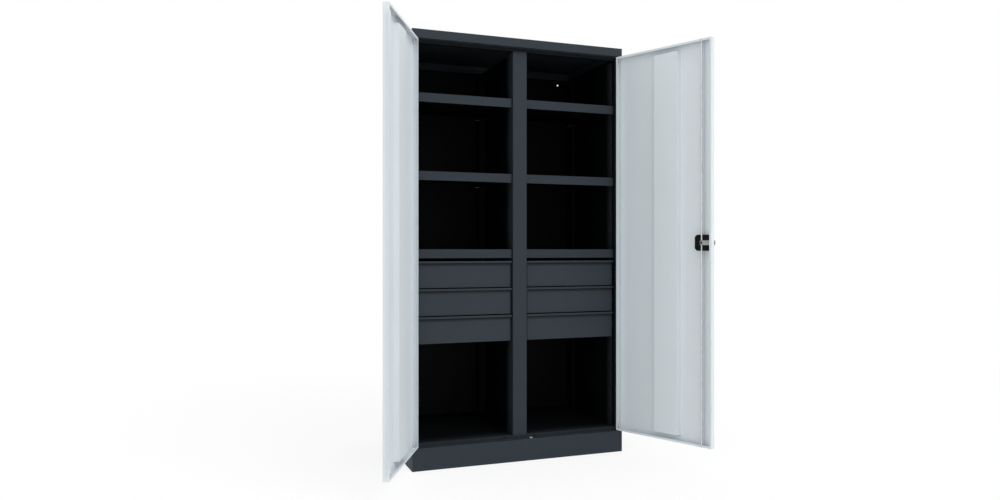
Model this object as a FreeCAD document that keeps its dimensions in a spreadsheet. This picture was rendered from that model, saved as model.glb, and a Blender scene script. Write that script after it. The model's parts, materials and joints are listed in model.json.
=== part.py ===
"""Heavy-duty storage cabinet with two doors, six shelves and six drawers, in millimetres.

Frame: +X to the right, +Y into the cabinet, +Z up.  The origin is on the floor,
under the middle of the body.  The doors stand open, as they rest.
"""
import FreeCAD, Part
import os
import re

import Sketcher

SIZES = {
    # body
    "body_width": 1040, "body_depth": 600, "body_height": 1950, "sheet": 1.5, "fold": 20,
    "cap_height": 39, "head_drop": 14, "plinth_height": 100, "sill_height": 16,
    "frame_setback": 30, "stile_width": 22, "stile_return": 30,
    "post_width": 68, "post_return": 40, "bearer_width": 80,
    "wall_hole_inset": 70, "wall_hole_radius": 4.5, "wall_hole_drop": 65,
    # slotted uprights and shelf clips
    "upright_width": 40, "upright_gap": 5, "slot_width": 4, "slot_height": 14, "slot_margin": 25,
    "clip_width": 30, "clip_reach": 20, "clip_sheet": 2, "clip_rise": 20,
    "tab_width": 3, "tab_height": 12, "tab_depth": 5, "slots_per_shelf": 7,
    # shelves
    "shelf_low_drop": 972, "shelf_top_drop": 272, "shelf_edge": 40, "shelf_side": 25,
    "shelf_lip": 12, "shelf_setback": 10, "shelf_gap": 3.5, "shelf_rear_gap": 8,
    # drawers and slides
    "drawer_pitch": 125, "drawer_height": 120, "drawer_drop": 14, "drawer_setback": 14,
    "drawer_gap": 4, "drawer_wall_gap": 8.5, "lip_reach": 10, "lip_drop": 8.5, "front_return": 12,
    "tray_lift": 10, "tray_height": 88, "tray_length": 490,
    "slide_width": 13, "slide_sheet": 1.5, "slide_clear": 0.3, "slide_play": 7, "slide_start": 3,
    "rail_height": 36, "rail_flange": 10.5, "rail_lift": 26,
    # doors and hinges
    "door_side_gap": 2, "door_mid_gap": 2, "door_top_gap": 3, "door_base_gap": 4,
    "door_depth": 25, "door_sheet": 1.5, "door_lip": 10,
    "left_door_angle": 116.5, "right_door_angle": 114,
    "pin_inset": 9, "pin_setback": 6.5, "pin_radius": 3, "pin_clear": 0.05,
    "pin_head_radius": 4.5, "pin_head": 3, "bush_wall": 1.3, "bush_length": 22, "washer_radius": 5.5,
    "hat_inset": 169, "hat_base": 140, "hat_top": 125, "hat_height": 20, "hat_foot": 12, "hat_end_gap": 30,
    "strip_width": 25, "strip_overlap": 14, "strip_joggle": 3, "strip_step": 0.5,
    # lock and rods
    "lock_height": 1007, "lock_inset": 50.5, "lock_shift": 3.5, "lock_width": 72, "lock_tall": 71,
    "lock_corner": 10,
    "case_depth": 10.5, "case_floor": 2, "case_wall": 2, "lock_depth": 22.5, "cavity_width": 40,
    "channel_width": 13, "cover_floor": 1, "link_width": 7, "link_height": 6, "link_clear": 0.5,
    "bridge_height": 21, "bridge_fit": 0.2, "spindle_width": 8, "spindle_hole": 6.5,
    "journal_radius": 5, "journal_clear": 0.05,
    "screw_across": 56, "screw_apart": 52, "screw_radius": 2, "screw_head_radius": 3.5, "screw_head": 1.5,
    "screw_clear": 0.05,
    "rod_radius": 4, "rod_depth": 20, "rod_clear": 0.1, "rod_proud": 1.5, "rod_start": 11.5,
    "rod_throw": 15, "rod_hole_radius": 7,
    "cam_radius": 17, "cam_thickness": 4, "cam_gap": 0.5, "crank_radius": 2.5, "crank_clear": 0.6,
    "yoke_thickness": 3, "yoke_gap": 0.5, "yoke_inner": 6.3, "yoke_wall": 3,
    # outside handle
    "escutcheon_radius": 26, "escutcheon_depth": 4, "escutcheon_hole": 9.5,
    "neck_radius": 9, "neck_gap": 0.5, "grip_length": 64, "grip_height": 26, "grip_depth": 14,
    "handle_reach": 35, "grip_round": 4, "plug_radius": 6, "plug_clear": 0.05, "plug_depth": 12,
    "plug_proud": 1.5, "keyway_width": 1.6, "keyway_height": 7, "keyway_depth": 5,
    # cuts run past their faces by this much
    "overrun": 2,
}

doc = FreeCAD.newDocument("StorageCabinet")
sheet = doc.addObject("Spreadsheet::Sheet", "Sizes")
for row, (alias, value) in enumerate(SIZES.items(), start=1):
    sheet.set(f"A{row}", alias)
    sheet.set(f"B{row}", str(value))
    sheet.setAlias(f"B{row}", alias)
doc.recompute()

# Planes of the body, as expressions in the named sizes
FRONT = "(-body_depth / 2)"
REAR = "(body_depth / 2)"
SIDE = "(body_width / 2)"
INSIDE = "(body_width / 2 - sheet)"
FRAME = "(-body_depth / 2 + frame_setback)"
BACK = "(body_depth / 2 - 2 * sheet)"
WALL = "(body_width / 2 - stile_width)"
POST = "(post_width / 2)"
MID = "(sheet / 2)"
CAP_BASE = "(body_height - cap_height)"
HEAD_BASE = "(body_height - cap_height - head_drop)"
SHELF_LOW = "(body_height - shelf_low_drop)"
FLOOR = "(plinth_height + sill_height)"

# Planes of a door: x runs from the pin towards the hinge edge, y into the cabinet when shut
OUTER = "(-pin_setback)"
SKIN = "(-pin_setback + door_sheet)"
INNER = "(door_depth - pin_setback)"
HINGE_EDGE = "(pin_inset - door_side_gap)"
FREE_EDGE = "(pin_inset - body_width / 2 + door_mid_gap / 2)"
DOOR_BASE = "(plinth_height + door_base_gap)"
DOOR_TOP = "(body_height - cap_height - door_top_gap)"
LOCK_X = f"({FREE_EDGE} + lock_inset)"
LOCK_MID = f"({LOCK_X} - lock_shift)"
PIVOT = {"x": LOCK_X, "z": "lock_height"}
ROD_Y = "(rod_depth - pin_setback)"
CASE_TOP = f"({SKIN} + case_depth)"
COVER_TOP = f"({SKIN} + lock_depth)"
CRANK_ARM = "(rod_throw / (2 * sin(45 deg)))"

LEFT, RIGHT = -1, 1
WORD = re.compile(r"[a-z_]+")
TURN = {
    "y": FreeCAD.Rotation(FreeCAD.Vector(1, 0, 0), -90),
    "z": FreeCAD.Rotation(),
}
nodes = []


def bound(text):
    """An expression in alias words, as the document's expression engine reads it."""
    return WORD.sub(lambda word: "Sizes." + word[0] if word[0] in SIZES else word[0], text)


def size(text):
    """The number that an expression in alias words gives."""
    figures = WORD.sub(lambda word: str(SIZES.get(word[0], word[0])), text)
    return FreeCAD.Units.parseQuantity(figures).Value


def place(obj, x="0", y="0", z="0"):
    """Bind an object's place to expressions."""
    for axis, text in (("x", x), ("y", y), ("z", z)):
        obj.setExpression(f"Placement.Base.{axis}", bound(text))
    return obj


def plate(x, y, z):
    """A flat plate between two expressions on each axis."""
    box = doc.addObject("Part::Box", "plate")
    for prop, (low, high) in (("Length", x), ("Width", y), ("Height", z)):
        box.setExpression(prop, bound(f"({high}) - ({low})"))
    return place(box, x[0], y[0], z[0])


def round_bar(radius, axis, low, high, **at):
    """A round bar along one axis, between two expressions, at the other two coordinates."""
    bar = doc.addObject("Part::Cylinder", "bar")
    bar.setExpression("Radius", bound(radius))
    bar.setExpression("Height", bound(f"({high}) - ({low})"))
    bar.Placement.Rotation = TURN[axis]
    return place(bar, **{**at, axis: low})


def flip(span):
    """The mirror image of a span across x = 0."""
    low, high = span
    return f"-({high})", f"-({low})"


def weld(shapes, cuts=()):
    """One solid from several shapes, with cuts taken out of it."""
    whole = shapes[0]
    if len(shapes) > 1:
        whole = doc.addObject("Part::MultiFuse", "weld")
        whole.Shapes = shapes
        whole.Refine = True
    for tool in cuts:
        cut = doc.addObject("Part::Cut", "cut")
        cut.Base = whole
        cut.Tool = tool
        whole = cut
    return whole


def mirror(source):
    """A copy of a shape on the other side of x = 0."""
    copy = doc.addObject("Part::Mirroring", "mirror")
    copy.Source = source
    copy.Normal = FreeCAD.Vector(1, 0, 0)
    return copy


def group(shapes):
    """Several separate solids kept together."""
    bundle = doc.addObject("Part::Compound", "group")
    bundle.Links = shapes
    return bundle


def node(label, shape):
    """Name a finished piece and list it for export."""
    shape.Label = label
    nodes.append(shape)
    return shape


def on_door(label, shape, side):
    """Name a piece of a door and hang it on that door's pin, at the door's rest angle."""
    place(shape, f"{side} * ({SIDE} - pin_inset)", f"{FRONT} + pin_setback")
    angle = "right_door_angle" if side > 0 else "-left_door_angle"
    shape.setExpression("Placement.Rotation.Angle", bound(angle))
    return node(label, shape)


def origin_part(body, role):
    """A plane or axis of a body's own origin."""
    return next(part for part in body.Origin.OriginFeatures if part.Role == role)


def outline(body, plane, points, offset="0"):
    """A closed sketch through points given as pairs of expressions."""
    sketch = body.newObject("Sketcher::SketchObject", "outline")
    sketch.AttachmentSupport = [(origin_part(body, plane), "")]
    sketch.MapMode = "FlatFace"
    sketch.setExpression("AttachmentOffset.Base.z", bound(offset))
    places = [FreeCAD.Vector(size(across), size(up), 0) for across, up in points]
    count = len(places)
    for start, end in zip(places, places[1:] + places[:1]):
        sketch.addGeometry(Part.LineSegment(start, end), False)
    for line in range(count):
        sketch.addConstraint(Sketcher.Constraint("Coincident", line, 2, (line + 1) % count, 1))
    for line, (texts, spot) in enumerate(zip(points, places)):
        for kind, text, value in zip(("DistanceX", "DistanceY"), texts, spot):
            index = sketch.addConstraint(Sketcher.Constraint(kind, -1, 1, line, 1, value))
            sketch.setExpression(f"Constraints[{index}]", bound(text))
    return sketch


def pad(body, sketch, length):
    """Pad a sketch of a body by a bound length."""
    feature = body.newObject("PartDesign::Pad", "pad")
    feature.Profile = sketch
    feature.setExpression("Length", bound(length))
    doc.recompute()
    return feature


def pocket(body, sketch, length, reverse=False):
    """Cut a sketch into a body by a bound length, and make sure that it removes material."""
    before = body.Shape.Volume
    feature = body.newObject("PartDesign::Pocket", "pocket")
    feature.Profile = sketch
    feature.Reversed = reverse
    feature.setExpression("Length", bound(length))
    doc.recompute()
    if body.Shape.Volume >= before:
        raise RuntimeError("a pocket removed nothing")
    return feature


# Body panels
def side_panel():
    """Right side: wall, front stile with its return, and folds at the rear, top and foot."""
    inward = (f"{SIDE} - fold", SIDE)
    return weld([
        plate((INSIDE, SIDE), (FRAME, REAR), ("0", CAP_BASE)),
        plate((WALL, SIDE), (FRAME, f"{FRAME} + sheet"), ("0", CAP_BASE)),
        plate((WALL, f"{WALL} + sheet"), (FRAME, f"{FRAME} + stile_return"), ("0", CAP_BASE)),
        plate(inward, (BACK, f"{BACK} + sheet"), ("0", CAP_BASE)),
        plate(inward, (FRAME, f"{BACK} + sheet"), (f"{CAP_BASE} - sheet", CAP_BASE)),
        plate(inward, (FRAME, f"{BACK} + sheet"), ("0", "sheet")),
    ])


right_wall = node("side_panel_right", side_panel())
node("side_panel_left", mirror(right_wall))

wall_holes = [
    round_bar("wall_hole_radius", "y", f"{BACK} - overrun", f"{REAR} + overrun",
              x=f"{side} * ({SIDE} - wall_hole_inset)", z="body_height - wall_hole_drop")
    for side in (LEFT, RIGHT)
]
back_sheet = plate((f"-{INSIDE}", INSIDE), (f"{BACK} + sheet", REAR), ("0", CAP_BASE))
node("back_panel", weld([back_sheet], wall_holes))


def ledge_holes(low, high, pin_hole):
    """Cuts through a ledge for both hinge pins and the locking rod of the right door."""
    pins = [
        round_bar(pin_hole, "z", low, high, x=f"{side} * ({SIDE} - pin_inset)", y=f"{FRONT} + pin_setback")
        for side in (LEFT, RIGHT)
    ]
    rod = round_bar("rod_hole_radius", "z", low, high,
                    x="door_mid_gap / 2 + lock_inset", y=f"{FRONT} + rod_depth")
    return pins + [rod]


across = (f"-{SIDE}", SIDE)
between = (f"-{WALL}", WALL)
door_zone = (FRONT, FRAME)

node("top_cap", weld([
    plate(across, (FRONT, REAR), ("body_height - sheet", "body_height")),
    plate(across, (FRONT, f"{FRONT} + sheet"), (CAP_BASE, "body_height")),
    plate(across, (f"{REAR} - sheet", REAR), (CAP_BASE, "body_height")),
    plate((INSIDE, SIDE), (FRONT, REAR), (CAP_BASE, "body_height")),
    plate((f"-{SIDE}", f"-{INSIDE}"), (FRONT, REAR), (CAP_BASE, "body_height")),
    plate(across, (FRONT, f"{FRAME} + stile_return"), (CAP_BASE, f"{CAP_BASE} + sheet")),
], ledge_holes(f"{CAP_BASE} - overrun", f"{CAP_BASE} + sheet + overrun", "pin_radius + pin_clear")))

rail_depth = (FRAME, f"{FRAME} + stile_return")
node("head_rail", weld([
    plate(between, (FRAME, f"{FRAME} + sheet"), (HEAD_BASE, CAP_BASE)),
    plate(between, rail_depth, (HEAD_BASE, f"{HEAD_BASE} + sheet")),
    plate(between, rail_depth, (f"{CAP_BASE} - sheet", CAP_BASE)),
]))

node("plinth_front", weld([
    plate(across, (FRONT, f"{FRONT} + sheet"), ("0", "plinth_height")),
    plate(across, door_zone, ("plinth_height - sheet", "plinth_height")),
    plate((INSIDE, SIDE), door_zone, ("0", "plinth_height")),
    plate((f"-{SIDE}", f"-{INSIDE}"), door_zone, ("0", "plinth_height")),
    plate(across, (FRONT, f"{FRONT} + fold"), ("0", "sheet")),
], ledge_holes("plinth_height - sheet - overrun", "plinth_height + overrun", "pin_radius + pin_clear")))

rear_span = (f"fold - {SIDE}", f"{SIDE} - fold")
node("plinth_rear", weld([
    plate(rear_span, (BACK, f"{BACK} + sheet"), ("0", f"{FLOOR} - sheet")),
    plate(rear_span, (f"{BACK} - fold", f"{BACK} + sheet"), ("0", "sheet")),
]))

node("floor_panel", weld([
    plate(between, rail_depth, (f"{FLOOR} - sheet", FLOOR)),
    plate((f"-{INSIDE}", INSIDE), (f"{FRAME} + stile_return", BACK), (f"{FLOOR} - sheet", FLOOR)),
    plate(between, (FRAME, f"{FRAME} + sheet"), ("plinth_height - fold", FLOOR)),
]))

bearer_run = (f"{FRAME} + sheet", f"{BACK} - fold")
bearer_half = "(bearer_width / 2)"
bearer_top = (f"{FLOOR} - 2 * sheet", f"{FLOOR} - sheet")
bearer_wall = (f"{bearer_half} - sheet", bearer_half)
bearer_wing = (f"{bearer_half} - sheet", f"{bearer_half} + fold")
node("floor_bearer", weld([
    plate((f"-{bearer_half}", bearer_half), bearer_run, ("0", "sheet")),
    plate(bearer_wall, bearer_run, ("0", f"{FLOOR} - sheet")),
    plate(flip(bearer_wall), bearer_run, ("0", f"{FLOOR} - sheet")),
    plate(bearer_wing, bearer_run, bearer_top),
    plate(flip(bearer_wing), bearer_run, bearer_top),
]))

node("partition_panel", weld([
    plate((f"-{MID}", MID), (f"{FRAME} + stile_return", f"{BACK} + sheet"), (FLOOR, CAP_BASE)),
    plate((f"-{MID}", f"{MID} + fold"), (BACK, f"{BACK} + sheet"), (FLOOR, CAP_BASE)),
]))

post_side = (f"{POST} - sheet", POST)
post_lip = (MID, POST)
post_back = (f"{FRAME} + post_return - sheet", f"{FRAME} + post_return")
post_run = (FRAME, f"{FRAME} + post_return")
post_tall = (FLOOR, HEAD_BASE)
node("front_post", weld([
    plate((f"-{POST}", POST), (FRAME, f"{FRAME} + sheet"), post_tall),
    plate(post_side, post_run, post_tall),
    plate(flip(post_side), post_run, post_tall),
    plate(post_lip, post_back, post_tall),
    plate(flip(post_lip), post_back, post_tall),
]))


# Slotted uprights, shelves and clips
SHELF_NAMES = ("low", "middle", "top")
SHELF_RISE = f"((shelf_low_drop - shelf_top_drop) / {len(SHELF_NAMES) - 1})"
SLOT_PITCH = f"({SHELF_RISE} / slots_per_shelf)"
CLIP_BASE = "(shelf_side + clip_sheet)"
SLOT_DROP = f"({CLIP_BASE} - clip_rise / 2)"
UPRIGHT_FRONT = f"({FRAME} + post_return + upright_gap)"
UPRIGHT_REAR = f"({BACK} - post_return - upright_width)"
COLUMNS = {"front": UPRIGHT_FRONT, "rear": UPRIGHT_REAR}


def slotted_upright(face, wall, depth_start):
    """A channel whose face has a row of hanging slots and whose legs stand on a wall."""
    inward = 1 if face == WALL else -1
    body = doc.addObject("PartDesign::Body", "upright")
    skin = f"({face} + {inward} * sheet)"
    low = depth_start
    high = f"({depth_start} + upright_width)"
    profile = outline(body, "XY_Plane", [
        (face, low), (wall, low), (wall, f"{low} + sheet"), (skin, f"{low} + sheet"),
        (skin, f"{high} - sheet"), (wall, f"{high} - sheet"), (wall, high), (face, high),
    ], FLOOR)
    pad(body, profile, f"{HEAD_BASE} - {FLOOR}")
    shelf_slot = size(f"{SHELF_LOW} - {SLOT_DROP}")
    pitch = size(SLOT_PITCH)
    below = int((shelf_slot - size(f"{FLOOR} + slot_margin")) // pitch)
    above = int((size(f"{HEAD_BASE} - slot_margin") - shelf_slot) // pitch)
    middle = f"({low} + upright_width / 2)"
    first = f"({SHELF_LOW} - {SLOT_DROP} - {below} * {SLOT_PITCH})"
    across_slot = (f"{middle} - slot_width / 2", f"{middle} + slot_width / 2")
    up_slot = (f"{first} - slot_height / 2", f"{first} + slot_height / 2")
    corners = [(0, 0), (1, 0), (1, 1), (0, 1)]
    slot = outline(body, "YZ_Plane", [(across_slot[i], up_slot[j]) for i, j in corners], face)
    cut = pocket(body, slot, "sheet + overrun", reverse=inward > 0)
    row = body.newObject("PartDesign::LinearPattern", "slot_row")
    row.Originals = [cut]
    row.Direction = (origin_part(body, "Z_Axis"), [""])
    row.setExpression("Length", bound(f"{below + above} * {SLOT_PITCH}"))
    row.Occurrences = below + above + 1
    body.Tip = row
    return body


right_uprights = [
    slotted_upright(face, wall, start)
    for start in COLUMNS.values()
    for face, wall in ((POST, MID), (WALL, INSIDE))
]
node("slotted_uprights", group(right_uprights + [mirror(upright) for upright in right_uprights]))

SHELF_LEFT = f"({POST} + shelf_gap)"
SHELF_RIGHT = f"({WALL} - shelf_gap)"
SHELF_FRONT = f"({FRAME} + shelf_setback)"
SHELF_BACK = f"({BACK} - shelf_rear_gap)"


def shelf(top):
    """A folded shelf with a deep front edge and its lip, a rear fold and side folds."""
    wide = (SHELF_LEFT, SHELF_RIGHT)
    deep = (SHELF_FRONT, SHELF_BACK)
    side_fold = (f"{top} - shelf_side", top)
    return weld([
        plate(wide, deep, (f"{top} - sheet", top)),
        plate(wide, (SHELF_FRONT, f"{SHELF_FRONT} + sheet"), (f"{top} - shelf_edge", top)),
        plate(wide, (SHELF_FRONT, f"{SHELF_FRONT} + shelf_lip"),
              (f"{top} - shelf_edge", f"{top} - shelf_edge + sheet")),
        plate(wide, (f"{SHELF_BACK} - sheet", SHELF_BACK), side_fold),
        plate((SHELF_LEFT, f"{SHELF_LEFT} + sheet"), deep, side_fold),
        plate((f"{SHELF_RIGHT} - sheet", SHELF_RIGHT), deep, side_fold),
    ])


def clip(face, towards, start, top):
    """A shelf clip: a leg on the upright, a foot under the shelf's side fold, a tab in a slot."""
    def span(reach):
        ends = (face, f"{face} + {towards} * ({reach})")
        return ends if towards > 0 else ends[::-1]

    middle = f"({start} + upright_width / 2)"
    deep = (f"{middle} - clip_width / 2", f"{middle} + clip_width / 2")
    foot = f"({top} - {CLIP_BASE})"
    slot = f"({top} - {SLOT_DROP})"
    tab_ends = (f"{face} - {towards} * tab_depth", face)
    return weld([
        plate(span("shelf_gap"), deep, (foot, f"{foot} + clip_rise")),
        plate(span("clip_reach"), deep, (foot, f"{foot} + clip_sheet")),
        plate(tab_ends if towards > 0 else tab_ends[::-1],
              (f"{middle} - tab_width / 2", f"{middle} + tab_width / 2"),
              (f"{slot} - tab_height / 2", f"{slot} + tab_height / 2")),
    ])


right_clips = []
for level, name in enumerate(SHELF_NAMES):
    shelf_top = f"({SHELF_LOW} + {level} * {SHELF_RISE})"
    right_shelf = node(f"shelf_right_{name}", shelf(shelf_top))
    node(f"shelf_left_{name}", mirror(right_shelf))
    for start in COLUMNS.values():
        right_clips.append(clip(POST, 1, start, shelf_top))
        right_clips.append(clip(WALL, -1, start, shelf_top))
node("shelf_clips", group(right_clips + [mirror(piece) for piece in right_clips]))


# Drawers and their slides
DRAWER_FACE = f"({FRAME} + drawer_setback)"
TRAY_LEFT = f"({POST} + slide_width)"
TRAY_RIGHT = f"({WALL} - slide_width)"
SLIDE_RUN = (f"{DRAWER_FACE} + front_return + slide_start", f"{DRAWER_FACE} + sheet + tray_length")
DRAWER_NAMES = ("top", "middle", "low")


def drawer_front(base, top):
    """A folded front: face, returns all round, and a grip lip that stands forward at the top."""
    wide = (f"{POST} + drawer_gap", f"{WALL} - drawer_wall_gap")
    back = (DRAWER_FACE, f"{DRAWER_FACE} + front_return")
    lip = f"({DRAWER_FACE} - lip_reach)"
    return weld([
        plate(wide, (DRAWER_FACE, f"{DRAWER_FACE} + sheet"), (base, top)),
        plate(wide, (lip, f"{DRAWER_FACE} + front_return"), (f"{top} - sheet", top)),
        plate(wide, (lip, f"{lip} + sheet"), (f"{top} - lip_drop", top)),
        plate(wide, back, (base, f"{base} + sheet")),
        plate((wide[0], f"{wide[0]} + sheet"), back, (base, top)),
        plate((f"{wide[1]} - sheet", wide[1]), back, (base, top)),
    ])


def drawer_tray(base):
    """An open tray behind the front: floor and four walls."""
    low = f"({base} + tray_lift)"
    tall = (low, f"{low} + tray_height")
    wide = (TRAY_LEFT, TRAY_RIGHT)
    front = f"({DRAWER_FACE} + sheet)"
    back = f"({front} + tray_length)"
    return weld([
        plate(wide, (front, back), (low, f"{low} + sheet")),
        plate(wide, (front, f"{front} + sheet"), tall),
        plate(wide, (f"{back} - sheet", back), tall),
        plate((TRAY_LEFT, f"{TRAY_LEFT} + sheet"), (front, back), tall),
        plate((f"{TRAY_RIGHT} - sheet", TRAY_RIGHT), (front, back), tall),
    ])


def channel(web, flange, low, high):
    """A channel along the slide: an upright web with a flange at its foot and at its head."""
    return weld([
        plate(web, SLIDE_RUN, (low, high)),
        plate(flange, SLIDE_RUN, (low, f"{low} + slide_sheet")),
        plate(flange, SLIDE_RUN, (f"{high} - slide_sheet", high)),
    ])


def slide_pair(base):
    """The fixed rails on the uprights and the runners on the tray, for one drawer."""
    low = f"({base} + tray_lift + rail_lift)"
    high = f"({low} + rail_height)"
    run_low = f"({low} + slide_sheet + slide_clear)"
    run_high = f"({high} - slide_sheet - slide_clear)"
    rail_end = "slide_sheet + rail_flange"
    tip = "slide_sheet + slide_play"
    rails = [
        channel((POST, f"{POST} + slide_sheet"), (POST, f"{POST} + {rail_end}"), low, high),
        channel((f"{WALL} - slide_sheet", WALL), (f"{WALL} - ({rail_end})", WALL), low, high),
    ]
    runners = [
        channel((f"{TRAY_LEFT} - slide_sheet", TRAY_LEFT), (f"{POST} + {tip}", TRAY_LEFT),
                run_low, run_high),
        channel((TRAY_RIGHT, f"{TRAY_RIGHT} + slide_sheet"), (TRAY_RIGHT, f"{WALL} - ({tip})"),
                run_low, run_high),
    ]
    return rails, runners


right_rails = []
for level, name in enumerate(DRAWER_NAMES):
    head = f"({SHELF_LOW} - shelf_edge - drawer_drop - {level} * drawer_pitch)"
    foot = f"({head} - drawer_height)"
    rails, runners = slide_pair(foot)
    right_rails += rails
    pieces = {"front": drawer_front(foot, head), "tray": drawer_tray(foot), "runners": group(runners)}
    for piece, shape in pieces.items():
        node(f"drawer_{piece}_right_{name}", shape)
        node(f"drawer_{piece}_left_{name}", mirror(shape))
node("slide_rails", group(right_rails + [mirror(rail) for rail in right_rails]))


# Doors and hinges
def door_pan(side, cuts):
    """A folded door: outer skin, a return on every edge, and an inner lip all round."""
    def wide(low, high):
        return (low, high) if side > 0 else flip((low, high))

    deep = (OUTER, INNER)
    lip = (f"{INNER} - door_sheet", INNER)
    tall = (DOOR_BASE, DOOR_TOP)
    full = wide(FREE_EDGE, HINGE_EDGE)
    shapes = [plate(full, (OUTER, SKIN), tall)]
    for reach, depth in (("door_sheet", deep), ("door_lip", lip)):
        shapes += [
            plate(wide(FREE_EDGE, f"{FREE_EDGE} + {reach}"), depth, tall),
            plate(wide(f"{HINGE_EDGE} - {reach}", HINGE_EDGE), depth, tall),
            plate(full, depth, (DOOR_BASE, f"{DOOR_BASE} + {reach}")),
            plate(full, depth, (f"{DOOR_TOP} - {reach}", DOOR_TOP)),
        ]
    pin = round_bar("pin_radius + pin_clear", "z", f"{DOOR_BASE} - overrun", f"{DOOR_TOP} + overrun")
    return weld(shapes, [pin] + cuts)


def hat_stiffener(side):
    """A wide hat section with sloping flanks, welded to the inside of the door's skin."""
    body = doc.addObject("PartDesign::Body", "stiffener")
    centre = f"({FREE_EDGE} + hat_inset + hat_base / 2)"
    crown = f"({SKIN} + hat_height)"
    half = [
        ("hat_base / 2 + hat_foot", SKIN), ("hat_base / 2 + hat_foot", f"{SKIN} + door_sheet"),
        ("hat_base / 2", f"{SKIN} + door_sheet"), ("hat_top / 2", crown),
    ]
    under = [
        ("hat_top / 2 - door_sheet", f"{crown} - door_sheet"), ("hat_base / 2 - door_sheet", SKIN),
    ]
    right = half + [(f"-({x})", y) for x, y in half[::-1]]
    inner = [(f"-({x})", y) for x, y in under[::-1]] + under
    points = right + inner
    profile = outline(body, "XY_Plane", [(f"{side} * ({centre} + ({x}))", y) for x, y in points],
                      f"{DOOR_BASE} + hat_end_gap")
    pad(body, profile, f"{DOOR_TOP} - {DOOR_BASE} - 2 * hat_end_gap")
    return body


def tube(outer, inner, low, high):
    """A bush or washer round the hinge axis."""
    bore = round_bar(inner, "z", f"{low} - overrun", f"{high} + overrun")
    return weld([round_bar(outer, "z", low, high)], [bore])


def door_bushes():
    """Bushes inside the door, one on its foot and one under its head."""
    outer = "pin_radius + pin_clear + bush_wall"
    inner = "pin_radius + pin_clear"
    low = f"({DOOR_BASE} + door_sheet)"
    high = f"({DOOR_TOP} - door_sheet)"
    return group([
        tube(outer, inner, low, f"{low} + bush_length"),
        tube(outer, inner, f"{high} - bush_length", high),
    ])


def hinge_pins(side):
    """The two pins of one door, each with its head behind a ledge of the body."""
    at = {"x": f"{side} * ({SIDE} - pin_inset)", "y": f"{FRONT} + pin_setback"}
    low_ledge = "(plinth_height - sheet)"
    high_ledge = f"({CAP_BASE} + sheet)"
    low_end = f"{DOOR_BASE} + door_sheet + bush_length"
    high_end = f"{DOOR_TOP} - door_sheet - bush_length"
    return [
        weld([round_bar("pin_radius", "z", low_ledge, low_end, **at),
              round_bar("pin_head_radius", "z", f"{low_ledge} - pin_head", low_ledge, **at)]),
        weld([round_bar("pin_radius", "z", high_end, high_ledge, **at),
              round_bar("pin_head_radius", "z", high_ledge, f"{high_ledge} + pin_head", **at)]),
    ]


def thrust_washer(side):
    """A washer that carries a door on the plinth's ledge."""
    at = {"x": f"{side} * ({SIDE} - pin_inset)", "y": f"{FRONT} + pin_setback"}
    span = ("plinth_height", DOOR_BASE)
    bore = round_bar("pin_radius + pin_clear", "z", f"{span[0]} - overrun", f"{span[1]} + overrun", **at)
    return weld([round_bar("washer_radius", "z", *span, **at)], [bore])


node("hinge_pins", group(hinge_pins(RIGHT) + hinge_pins(LEFT)))
node("thrust_washers", group([thrust_washer(RIGHT), thrust_washer(LEFT)]))

rod_holes = round_bar("rod_radius + rod_clear", "z", f"{DOOR_BASE} - overrun", f"{DOOR_TOP} + overrun",
                      x=LOCK_X, y=ROD_Y)
skin_hole = round_bar("spindle_hole", "y", f"{OUTER} - overrun", f"{SKIN} + overrun",
                      **PIVOT)
rod_wide = (f"{LOCK_X} - rod_radius - rod_clear", f"{LOCK_X} + rod_radius + rod_clear")
rod_notches = [
    plate(rod_wide, (ROD_Y, f"{INNER} + overrun"), span)
    for span in ((f"{DOOR_BASE} - overrun", f"{DOOR_BASE} + door_lip + overrun"),
                 (f"{DOOR_TOP} - door_lip - overrun", f"{DOOR_TOP} + overrun"))
]
on_door("door_pan_right", door_pan(RIGHT, [rod_holes, skin_hole] + rod_notches), RIGHT)
on_door("door_pan_left", door_pan(LEFT, []), LEFT)
for side, name in ((RIGHT, "right"), (LEFT, "left")):
    on_door(f"door_stiffener_{name}", hat_stiffener(side), side)
    on_door(f"door_bushes_{name}", door_bushes(), side)

left_edge = f"(-{FREE_EDGE})"
strip_tall = (f"{DOOR_BASE} + hat_end_gap", f"{DOOR_TOP} - hat_end_gap")
on_door("closing_strip", weld([
    plate((f"{left_edge} - strip_width", f"{left_edge} - strip_joggle"), (INNER, f"{INNER} + door_sheet"),
          strip_tall),
    plate((f"{left_edge} - strip_joggle", f"{left_edge} + strip_overlap"),
          (f"{INNER} + strip_step", f"{INNER} + strip_step + door_sheet"), strip_tall),
]), LEFT)


# Lock, rods and handle, in the right door
def lock_x(low, high):
    """A span across the door, measured from the lock's pivot."""
    return f"{LOCK_X} + ({low})", f"{LOCK_X} + ({high})"


def lock_z(low, high):
    """A span up the door, measured from the lock's pivot."""
    return f"lock_height + ({low})", f"lock_height + ({high})"


def lock_block(low, high):
    """The lock's outline, cut back at the two corners on the hinge side, between two depths."""
    body = doc.addObject("PartDesign::Body", "lock_block")
    wide = "lock_width / 2"
    tall = "lock_tall / 2"
    corners = [
        (f"-{wide}", f"-{tall}"), (f"{wide} - lock_corner", f"-{tall}"), (wide, f"lock_corner - {tall}"),
        (wide, f"{tall} - lock_corner"), (f"{wide} - lock_corner", tall), (f"-{wide}", tall),
    ]
    points = [(f"{LOCK_MID} + {x}", f"lock_height + {z}") for x, z in corners]
    pad(body, outline(body, "XZ_Plane", points, f"-({high})"), f"({high}) - ({low})")
    return body


def lock_bores(low, high):
    """Cuts for the lock's four screws."""
    spots = [(across_half, up_half) for across_half in (-1, 1) for up_half in (-1, 1)]
    return [
        round_bar("screw_radius + screw_clear", "y", low, high,
                  x=f"{LOCK_MID} + {i} * screw_across / 2", z=f"lock_height + {j} * screw_apart / 2")
        for i, j in spots
    ]


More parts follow.
